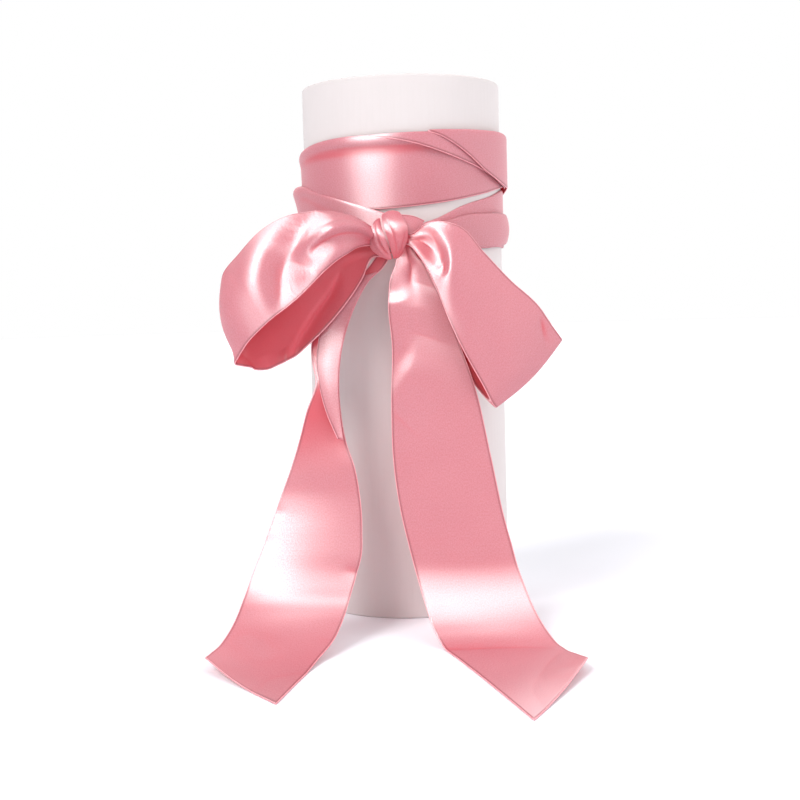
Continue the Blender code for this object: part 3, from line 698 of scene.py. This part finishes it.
# Left tail: it leaves the knot behind the left loop, turned half over at its top, and its slanted
# end lies on the floor.
LEFT_TAIL = (
    Section((-13, -71.4, 215.5), (-7, -72.2, 214), 0.2),
    Section((-20, -71.2, 206), (-11.5, -72.4, 206.6), 0.4),
    Section((-36, -69, 190), (-21.5, -72, 197), 0.6),
    Section((-46, -68.5, 178), (-29, -72, 184), 0.8),
    Section((-53.5, -70.5, 165), (-35, -74, 168), 0.8),
    Section((-53.5, -76, 153), (-38, -77, 154), 0.6),
    Section((-51.5, -81.5, 142), (-39, -79.4, 142), 0.4),
    Section((-57, -84.6, 126), (-38.5, -81.6, 126), 0.6),
    Section((-61.5, -85.6, 110), (-36, -84.4, 109), 1.2),
    Section((-67.5, -87.8, 92), (-31, -88, 93), 1.8),
    Section((-72, -89.4, 80.5), (-29, -89.8, 80), 2.2),
    Section((-76, -92.3, 70), (-28, -91.8, 69), 2.8),
    Section((-80, -96.4, 59.5), (-28, -94.2, 58), 3.4),
    Section((-84, -101, 49), (-28.5, -97.2, 47), 3.8),
    Section((-88, -105.8, 39.3), (-31.2, -100.8, 37), 3.8),
    Section((-90.5, -110.6, 31.9), (-33.6, -105, 29.8), 3.2),
    Section((-93, -116.9, 25.3), (-36, -109.6, 22.6), 2.2),
    Section((-95, -123.6, 20), (-38, -115.6, 17.2), 1.4),
    Section((-97.7, -131.4, 14.8), (-40.5, -123.4, 12), 0.5),
    Section((-102, -142.5, 9.4), (-44.2, -133.5, 7), -0.2),
    Section((-105.8, -150, 7.4), (-50.2, -148, 3), -1.0),
    Section((-107.5, -155, 7), (-57.5, -176, 0), -1.6),
    Section((-107.5, -156, 7), (-66, -214, 0), -2.0),
)
LEFT_TAIL_FOLDS = (
    (FoldPoint(0.545, -0.02, -0.35, 3.5), FoldPoint(0.55, 0.05, -0.2, 3.5),
     FoldPoint(0.56, 0.12, 0.0, 3.5)),
    (FoldPoint(0.605, -0.02, -0.35, 3.5), FoldPoint(0.61, 0.05, -0.2, 3.5),
     FoldPoint(0.62, 0.12, 0.0, 3.5)),
    (FoldPoint(0.665, 1.02, -0.9, 3.2), FoldPoint(0.66, 0.93, -0.5, 3.2),
     FoldPoint(0.652, 0.85, 0.0, 3.2)),
    (FoldPoint(0.80, 0.1, 0.0, 5), FoldPoint(0.84, 0.35, 0.7, 6), FoldPoint(0.88, 0.6, 0.0, 6)),
)
FLOOR_GAP = 0.08


def laid_on_floor(surface):
    """Cloth can't go below the floor, which its lower face almost touches."""
    lowest = SATIN_WALL / 2 + FLOOR_GAP
    return np.concatenate([surface[:, :, :2], np.maximum(surface[:, :, 2:], lowest)], axis=2)


left_tail = strip_surface(LEFT_TAIL, along=330, across=60)
# Painted shade: the tail's top, under the left loop, is a deeper red.
sew("satin_left_tail", laid_on_floor(drape(left_tail, LEFT_TAIL_FOLDS, sway=0.12, sway_start=0.2)),
    seams=(("near", "last", "far"),), nodes=("left_tail",),
    outer_painted_shade=((0, 0.9), (0.36, 0.9), (0.48, 0), (1, 0)))

LEFT_TAIL_TURNOVER = (
    Section((-24, -71.8, 201), (-15.5, -73.6, 203), 0.2),
    Section((-33, -71.2, 191), (-21.8, -73.8, 197), 0.5),
    Section((-42, -71.2, 182), (-29, -73.6, 184), 0.7),
    Section((-48.6, -72.4, 170), (-34.6, -75.4, 170), 1.0),
    Section((-50.6, -74.6, 160), (-36.8, -78.6, 160), 1.4),
    Section((-51, -78.4, 149), (-38.5, -81.8, 149), 1.8),
    Section((-49.6, -82, 140), (-39, -84.4, 140), 1.6),
    Section((-45.6, -87.4, 125), (-38.4, -87.6, 125), 1.0),
    Section((-39.8, -91.4, 111), (-36.8, -91.0, 110), 0.2),
)
sew("satin_left_tail_turnover",
    drape(strip_surface(LEFT_TAIL_TURNOVER, along=120, across=30), (), sway=0.08, sway_start=0.9),
    seams=(("near",),), nodes=("left_tail_turnover",))

# Right tail: it hangs between the right loop's two layers and its slanted end lies on the floor,
# with one corner curled up.
RIGHT_TAIL = (
    Section((-5, -75.4, 219), (4, -74.8, 217.6), 0.4),
    Section((-4, -78.6, 212.6), (6.4, -76, 211.2), 0.8),
    Section((-5, -80, 206.5), (10.5, -76.5, 206.5), 1.2, 0.4),
    Section((-8, -81, 199), (14, -77.5, 199), 1.6, 0.6),
    Section((-9, -82.6, 185), (20, -79, 187), 2.2, 0.8),
    Section((-8, -86, 162), (29, -82, 162), 2.5, 0.6),
    Section((-9, -89, 132), (37.5, -86.5, 136), 2.5),
    Section((-9, -92, 98), (45, -90.5, 98), 2.5),
    Section((-5, -95.6, 66), (51.5, -93.6, 64), 2.0),
    Section((-1.5, -97.6, 50), (55, -95.4, 50), 1.4),
    Section((1.5, -100.4, 37.6), (58, -98, 37.6), 0.8),
    Section((4.2, -104.8, 27.8), (61.2, -102, 28), 0.4),
    Section((7.2, -111, 18), (64.8, -108, 18.4), 0.1),
    Section((10.6, -119, 8.8), (69.2, -115.4, 9.8), 0.0),
    Section((15.6, -128.6, 1.6), (73.8, -123, 3.6), -0.3),
    Section((27, -162, 0), (79, -135, 1), -0.8),
    Section((40, -205, 0), (83, -153, 3), -1.0),
    Section((52, -246, 0), (86, -174, 7), -1.2),
)
RIGHT_TAIL_FOLDS = (
    (FoldPoint(0.0, 0.62, -0.6, 1.0), FoldPoint(0.03, 0.6, -2.0, 1.6), FoldPoint(0.055, 0.55, -2.2, 2.4),
     FoldPoint(0.085, 0.49, -1.2, 3.4), FoldPoint(0.12, 0.45, 0.0, 5)),
    (FoldPoint(0.074, 0.6, 0.0, 4, 12), FoldPoint(0.09, 0.5, 1.0, 4.6, 14),
     FoldPoint(0.104, 0.36, 1.8, 5, 18), FoldPoint(0.11, 0.22, 2.1, 5, 20),
     FoldPoint(0.11, 0.08, 2.0, 5, 22), FoldPoint(0.108, -0.08, 1.7, 5, 22)),
    (FoldPoint(0.17, 0.46, 0.0, 6, 14), FoldPoint(0.2, 0.36, 1.6, 6, 16),
     FoldPoint(0.235, 0.24, 3.2, 6.5, 18), FoldPoint(0.27, 0.1, 2.4, 7, 18),
     FoldPoint(0.29, -0.04, 0.8, 7, 18)),
    (FoldPoint(0.735, 0.1, 0.0, 4), FoldPoint(0.77, 0.24, 0.8, 5), FoldPoint(0.83, 0.34, 0.5, 6),
     FoldPoint(0.88, 0.4, 0.0, 6)),
    (FoldPoint(0.9, 0.55, 0.0, 5), FoldPoint(0.94, 0.66, 0.5, 5), FoldPoint(0.98, 0.8, 0.2, 5)),
)
right_tail = strip_surface(RIGHT_TAIL, along=350, across=60)
# Painted shade: deeper red beside the knot.
sew("satin_right_tail", laid_on_floor(drape(right_tail, RIGHT_TAIL_FOLDS, sway=0.12, sway_start=2.6)),
    seams=(("near", "last", "far"),), nodes=("right_tail",),
    outer_painted_shade=((0, 0.7), (0.05, 0.1), (0.1, 0), (1, 0)))
